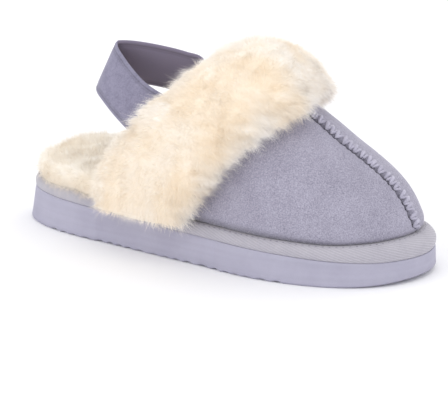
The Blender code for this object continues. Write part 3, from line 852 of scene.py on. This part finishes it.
pile_bed = pad[:, 2:]
under_pad = pile_bed[:, :1].mean(0) * (1, 0, 0) + (0, 0, 10.0)
above_wrap = pile_bed[..., 2] - wrap_top(pile_bed[..., 0])
stand = grid_normals(pile_bed, pile_bed - under_pad)
stand[..., 2] = np.abs(stand[..., 2]) * np.where(above_wrap > 2.0, 1, 0.4)
tall = through(INSOLE["share"], INSOLE["pile"], pile_bed[..., 0] / SOLE_LENGTH) * 0.12 + 2.3
open_heel = 0.15 + 0.85 * ramp(pile_bed[..., 0], 135.0, 95.0)
over_edge = ramp(above_wrap, 7.0, 1.0)
rest = np.stack([0 * over_edge, 0 * over_edge, -0.9 * over_edge], -1)
make_pile("footbed_hairs", pile_bed, unit(stand), tall, rest, rim_tint(pile_bed), open_heel,
          count=46000, material=footbed_hairs, seed=21)

# Cuff
# A band of the same deep pile, sewn along the throat and turned out over it, from the sole on one side
# over the instep to the sole on the other. The pile parts along its middle and falls to both edges.

CUFF_FRONT_FOOT, CUFF_FRONT_TOP = 106.0, 152.0
CUFF_BACK_FOOT, CUFF_BACK_TOP = 58.0, 110.0
PILE, FOOT_PILE = 16.6, 12.6
FRONT_FULL, BACK_FULL = 3.6, 1.5  # how far the edges swell out, higher up
BACK_NOTCH, FOOT_NOTCH = 3.0, 4.0  # how far the lateral back edge is drawn in, near the top and at the sole
TOP_LEAN, TOP_DIP, FOOT_SAG = 4.0, 2.0, 2.5
WARM_PATCH, WARM_EDGE = 0.45, 0.4


def cuff_band(rows, ring_points):
    """The band as a flat sausage round the throat: at each angle over the foot its section is an ellipse
    between the back and front edges, which are let out and drawn in a little along the way. On top the
    front shoulder leans back, and at the feet the pile sags. Also gives the direction in which the pile
    leaves it, its locks, and each point's angle over the foot and spin round the section."""
    angle = np.linspace(0.012, np.pi - 0.012, rows)[:, None]
    high = height_share(angle)
    front = CUFF_FRONT_FOOT + (CUFF_FRONT_TOP - CUFF_FRONT_FOOT) * high
    front += FRONT_FULL * ramp(high, 0.15, 0.5) * ramp(angle, 1.6, 1.25)
    back = CUFF_BACK_FOOT + (CUFF_BACK_TOP - CUFF_BACK_FOOT) * high**THROAT_CURVE
    back -= BACK_FULL * ramp(high, 0.3, 0.6)
    back += BACK_NOTCH * bump(angle, 1.2, 0.13) + FOOT_NOTCH * ramp(high, 0.15, 0.0) * (angle < np.pi / 2)
    thick = FOOT_PILE + (PILE - FOOT_PILE) * high
    spin = np.linspace(0, 2 * np.pi, ring_points, endpoint=False)[None]
    across = np.sign(np.cos(spin)) * np.abs(np.cos(spin)) ** (0.8 + 0.3 * high)
    shoulder = np.clip(np.sin(2 * spin), 0, 1) * (spin < np.pi)
    x = (front + back) / 2 + ((front - back) / 2 + 1.0) * across
    x = x - TOP_LEAN * shoulder * ramp(high, 0.8, 0.95) * ramp(angle, 1.2, 1.5)
    lift = 0.5 + (thick / 2 + 0.6 * high * np.cos(spin)) * (1 + np.sin(spin))
    lift -= TOP_DIP * bump(spin, 2.07, 0.3) * ramp(high, 0.97, 0.995)
    angles = angle * np.ones_like(x)
    along, out = arch_frame(x, angles)
    points = arch(x, angles) + out * lift[..., None]
    leave = unit(np.cos(spin)[..., None] ** 3 * along + np.sin(spin)[..., None] * out)
    points[..., 2] -= FOOT_SAG * ramp(lift, 5.5, 10.0) * ramp(high, 0.25, 0.0)
    locks = locks_of(points, 0.6, 0.15 + 0.55 * np.abs(np.cos(spin)) ** 2)
    locks *= np.clip(np.sin(spin) + 0.5, 0, 1) + 0.8 * np.abs(np.cos(spin)) ** 3
    return points + leave * locks[..., None], leave, locks, angles, spin * np.ones_like(x)


cuff_pile = pile_finish("cuff_pile", (239, 229, 213), (244, 231, 211), (245, 243, 240))
cuff_hairs = pile_finish("cuff_hairs", (243, 236, 226), (246, 234, 215), (248, 246, 244))
band, leave, locks, over, spin = cuff_band(rows=221, ring_points=160)
high = height_share(over)
ends = [band[row].mean(0) + 0 * band[:1] for row in (0, -1)]
tint = 0.6 * np.clip(1.2 * np.sin(spin) - 0.2, 0, 1) * (1 - 0.8 * ramp(high, 0.94, 1.0))
tint += WARM_PATCH * bump(over, 1.2, 0.3) * bump(spin, 1.4, 0.6)
tint += WARM_PATCH * bump(over, 0.22, 0.12) * bump(spin, 0.7, 0.35)
tint += WARM_EDGE * ramp(np.cos(spin), 0.2, 0.7) * ramp(high, 1.0, 0.9)
tint += WARM_EDGE * ramp(-np.cos(spin), 0.2, 0.7) * ramp(high, 0.7, 0.4)
all_locks, all_tint = (np.concatenate([field[:1], field, field[-1:]]) for field in (locks, tint))
cuff = make_piece("cuff_band", np.concatenate([ends[0], band, ends[1]]), cuff_pile, ring=True,
                  marks=plush_marks(all_locks, all_tint))
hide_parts("cuff")

tall = 0.1 * (FOOT_PILE + (PILE - FOOT_PILE) * high) + 1.7 + 1.8 * np.abs(np.cos(spin)) ** 4
droop = -0.15 - 0.4 * ramp(high, 0.5, 0.0) - 0.5 * ramp(high, 0.2, 0.0)
comb = np.stack([0.4 * np.cos(spin), np.zeros_like(spin), droop], -1)
outer_side = np.where(np.sin(spin) > -0.45, 1.0 + 0.8 * np.abs(np.cos(spin)) ** 4, 0.05)
fields = [closed(field) for field in (band, leave, tall, comb, tint, outer_side)]
for number in range(3):
    make_pile(f"cuff_hairs_{number + 1}", *fields, count=45000, material=cuff_hairs, seed=31 + number)

# Vamp lining
# The same pile, shorter, glued inside the vamp down to the footbed, where it shows in the slipper's mouth.
# Behind the throat's edge it is turned out, up to the cuff.

LINING, TURNED_OUT, INTO_CUFF = WALL + 0.4, 4.0, 5.5
LINING_CLOTH, LINING_PILE = 0.5, 5.0


def lining_points(rows, columns_across):
    """Rows from the turned edge behind the topline to the toe, closer near the toe, against the vamp's
    inner face. Behind the topline the cloth climbs out into the cuff. Also gives the way in from it."""
    angle = np.linspace(0.03, np.pi - 0.03, columns_across)[None]
    toe = foot_line(LINING)[0][:, 0].max() - 0.02
    x = toe - (toe - topline(angle) + TURNED_OUT) * np.linspace(1, 0, rows)[:, None] ** 1.5
    angle = angle * np.ones_like(x)
    out = arch_frame(x, angle)[1]
    climb = ramp(topline(angle) - x, 0.4, TURNED_OUT) * (LINING + INTO_CUFF)
    return arch(x, angle, LINING) + out * climb[..., None], -out


lining, inwards = lining_points(rows=70, columns_across=80)
even = np.full(lining.shape[:2], 0.5)
back_cloth = shell(lining, lining + LINING_CLOTH * inwards)
vamp_lining = make_piece("vamp_lining", back_cloth, footbed_pile,
                         marks={mark: np.full(back_cloth.shape[:2], 0.5) for mark in ("along", "warm")})
tall = np.full_like(even, LINING_PILE)
near_mouth = 0.1 + 0.9 * ramp(lining[..., 0], 170.0, 120.0)
make_pile("lining_hairs", lining, inwards, tall, np.zeros_like(lining), even, near_mouth,
          count=26000, material=footbed_hairs, seed=51, wild=0.2)

# Back strap
# A loop of 25 mm woven elastic with a firm selvedge along both edges.
# Its ends are sewn in under the cuff on both sides of the throat, so that it holds the heel.

STRAP_WIDTH, STRAP_THICK, GROOVE = 25.0, 1.8, 0.22
ELASTIC_RIB = 1.1
LOOP_MIDDLE = (90.0, -2.0, 0.0)
STRAP = columns(
    ("x", "y", "z", "lean"),
    (104.0, -22.4, 56.0, 24.0),
    (94.0, -20.8, 58.8, 24.0),
    (82.0, -19.6, 61.8, 22.0),
    (70.5, -18.0, 66.2, 22.0),
    (60.4, -14.3, 71.4, 22.0),
    (51.2, -9.2, 76.2, 23.0),
    (45.4, -4.8, 79.0, 24.0),
    (43.4, -0.4, 80.2, 24.0),
    (45.4, 4.2, 80.8, 23.0),
    (53.0, 7.6, 80.8, 22.0),
    (63.0, 9.2, 80.2, 21.0),
    (75.0, 10.0, 79.0, 20.0),
    (84.0, 10.2, 77.8, 20.0),
    (92.0, 10.1, 76.6, 22.0),
    (99.5, 9.6, 72.4, 36.0),
    (106.0, 9.1, 68.2, 46.0),
)


def strap_points():
    """The band's section carried along its loop, leaning in at the top. Across its width it is as thick
    as the elastic, rounded at the edges, with a groove inside each selvedge on both faces."""
    along = np.linspace(0, 1, 181)
    row = np.linspace(0, 1, len(STRAP["x"]))
    centre = np.column_stack([through(row, STRAP[axis], along) for axis in ("x", "y", "z")])
    lean = np.radians(through(row, STRAP["lean"], along))[:, None]
    run = unit(np.gradient(centre, axis=0) * (1, 1, 0))
    inwards = np.column_stack([-run[:, 1], run[:, 0], np.zeros(len(along))])
    inwards *= np.sign(np.sum(inwards * (np.array(LOOP_MIDDLE) - centre), axis=1, keepdims=True))
    up = np.array([0.0, 0.0, 1.0])
    rise = inwards * np.sin(lean) + up * np.cos(lean)
    face = up * np.sin(lean) - inwards * np.cos(lean)
    across = np.sin(np.linspace(-np.pi / 2, np.pi / 2, 61)) * STRAP_WIDTH / 2
    rounded = np.sqrt(1 - np.abs(across / across[-1]) ** 14)
    groove = GROOVE * (bump(np.abs(across), 10.6, 0.45) + 0.6 * bump(np.abs(across), 9.5, 0.4))
    half = (STRAP_THICK / 2 - groove) * rounded
    section = np.concatenate([np.column_stack([across, half]), np.column_stack([across, -half])[-2:0:-1]])
    points = centre[:, None] + rise[:, None] * section[:, :1] + face[:, None] * section[:, 1:]
    # Which points are on the inner face, which the material paints darker as shade.
    inner = np.concatenate([np.zeros(len(across)), np.ones(len(across) - 2)])
    lines = np.concatenate([groove, groove[-2:0:-1]]) / GROOVE
    ends = [centre[:1, None] + 0 * points[:1], centre[-1:, None] + 0 * points[-1:]]
    return np.concatenate([ends[0], points, ends[1]]), inner, lines


elastic, tree, shader = new_finish("elastic", {
    "Roughness": 0.8, "Sheen Weight": 0.3, "Sheen Roughness": 0.4,
})
knit = put_effect(tree, mottle, {
    "Dark": paint(107, 104, 126), "Light": paint(145, 142, 164),
    "Patches": 190.0, "Grain": 1100.0, "Grain Share": 0.6,
})
# Painted shade: the inner face of the same elastic is given a darker colour.
inside = put(tree, "Attribute", {}, attribute_name="inside").outputs["Fac"]
shaded_inner_face = put(tree, "Mix", {"Factor": inside}, data_type="RGBA")
tree.links.new(knit.outputs["Color"], shaded_inner_face.inputs[6])
shaded_inner_face.inputs[7].default_value = paint(122, 114, 134)
lines = put(tree, "Attribute", {}, attribute_name="selvedge").outputs["Fac"]
dim = put(tree, "MapRange", {"Value": lines, "To Min": 1.0, "To Max": 0.66})
edged = scaled(tree, shaded_inner_face.outputs[2], dim.outputs["Result"])
ribs = put_effect(tree, twill, {
    "Wales": 2 * np.pi * CLOTH_MAP / ELASTIC_RIB, "Slant": 0.0, "Threads": 1100.0,
})
woven = put(tree, "Bump", {"Height": ribs.outputs["Height"], "Strength": 0.25, "Distance": 0.0002})
dress(tree, shader, edged, woven)

band_points, inner_side, selvedge = strap_points()
strap_map = np.stack([lengths(closed(band_points), 0), lengths(closed(band_points), 1)], -1) / CLOTH_MAP
strap = make_piece("elastic_strap", band_points, elastic, ring=True, uv=strap_map,
                   marks={"inside": np.ones((len(band_points), 1)) * inner_side,
                          "selvedge": np.ones((len(band_points), 1)) * selvedge})
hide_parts("back_strap")

# Stage
# A plain white floor under soft light all round, with a low key light from the camera's left, a fill from
# its right and a rim light from behind. The camera is the photograph's.

floor_mesh = bpy.data.meshes.new("floor")
floor_mesh.from_pydata([(-4, -4, 0), (4, -4, 0), (4, 4, 0), (-4, 4, 0)], [], [(0, 1, 2, 3)])
floor_paint, tree, shader = new_finish("floor_paint", {"Roughness": 0.9, "Specular IOR Level": 0.1})
shader.inputs["Base Color"].default_value = (0.90, 0.90, 0.92, 1.0)
floor_mesh.materials.append(floor_paint)
floor = bpy.data.objects.new("floor", floor_mesh)
bpy.context.scene.collection.objects.link(floor)

world = bpy.data.worlds.new("studio")
world.use_nodes = True
world.node_tree.nodes["Background"].inputs["Color"].default_value = (1.0, 1.0, 1.0, 1.0)
world.node_tree.nodes["Background"].inputs["Strength"].default_value = 1.14
bpy.context.scene.world = world
bpy.context.scene.view_settings.view_transform = "Standard"


def soft_light(name, place, size, power):
    """A square area light that faces the slipper."""
    lamp = bpy.data.lights.new(name, "AREA")
    lamp.size, lamp.energy = size, power
    light = bpy.data.objects.new(name, lamp)
    light.location = place
    toward = np.array([0.0, 0.0, 0.04]) - place
    tilt = np.arctan2(np.hypot(toward[0], toward[1]), -toward[2])
    light.rotation_euler = (tilt, 0.0, np.arctan2(toward[1], toward[0]) - np.pi / 2)
    bpy.context.scene.collection.objects.link(light)


soft_light("key", (-0.6, -1.4, 0.6), 1.4, 5.5)
soft_light("fill", (1.4, -0.3, 0.6), 1.2, 2.6)
soft_light("rim", (0.5, 1.0, 1.0), 1.2, 1.8)
bpy.context.scene.cycles.diffuse_bounces = 8  # light goes from hair to hair many times in pale pile

AZIMUTH, ELEVATION = np.radians(29.66), np.radians(16.71)
DISTANCE, FOCAL_PIXELS, FRAME_WIDTH, SENSOR = 1.1363, 2374.8, 448, 36.0
aim = (np.array([107.4, 0.0, 18.7]) + FOOT_ORIGIN) * MM
level = np.array([np.sin(AZIMUTH), -np.cos(AZIMUTH)]) * np.cos(ELEVATION)
back = np.append(level, np.sin(ELEVATION))
lens = bpy.data.cameras.new("camera")
lens.sensor_width, lens.lens = SENSOR, SENSOR * FOCAL_PIXELS / FRAME_WIDTH
camera = bpy.data.objects.new("camera", lens)
camera.location = aim + back * DISTANCE
camera.rotation_euler = (np.pi / 2 - ELEVATION, 0.0, AZIMUTH)
bpy.context.scene.collection.objects.link(camera)
bpy.context.scene.camera = camera
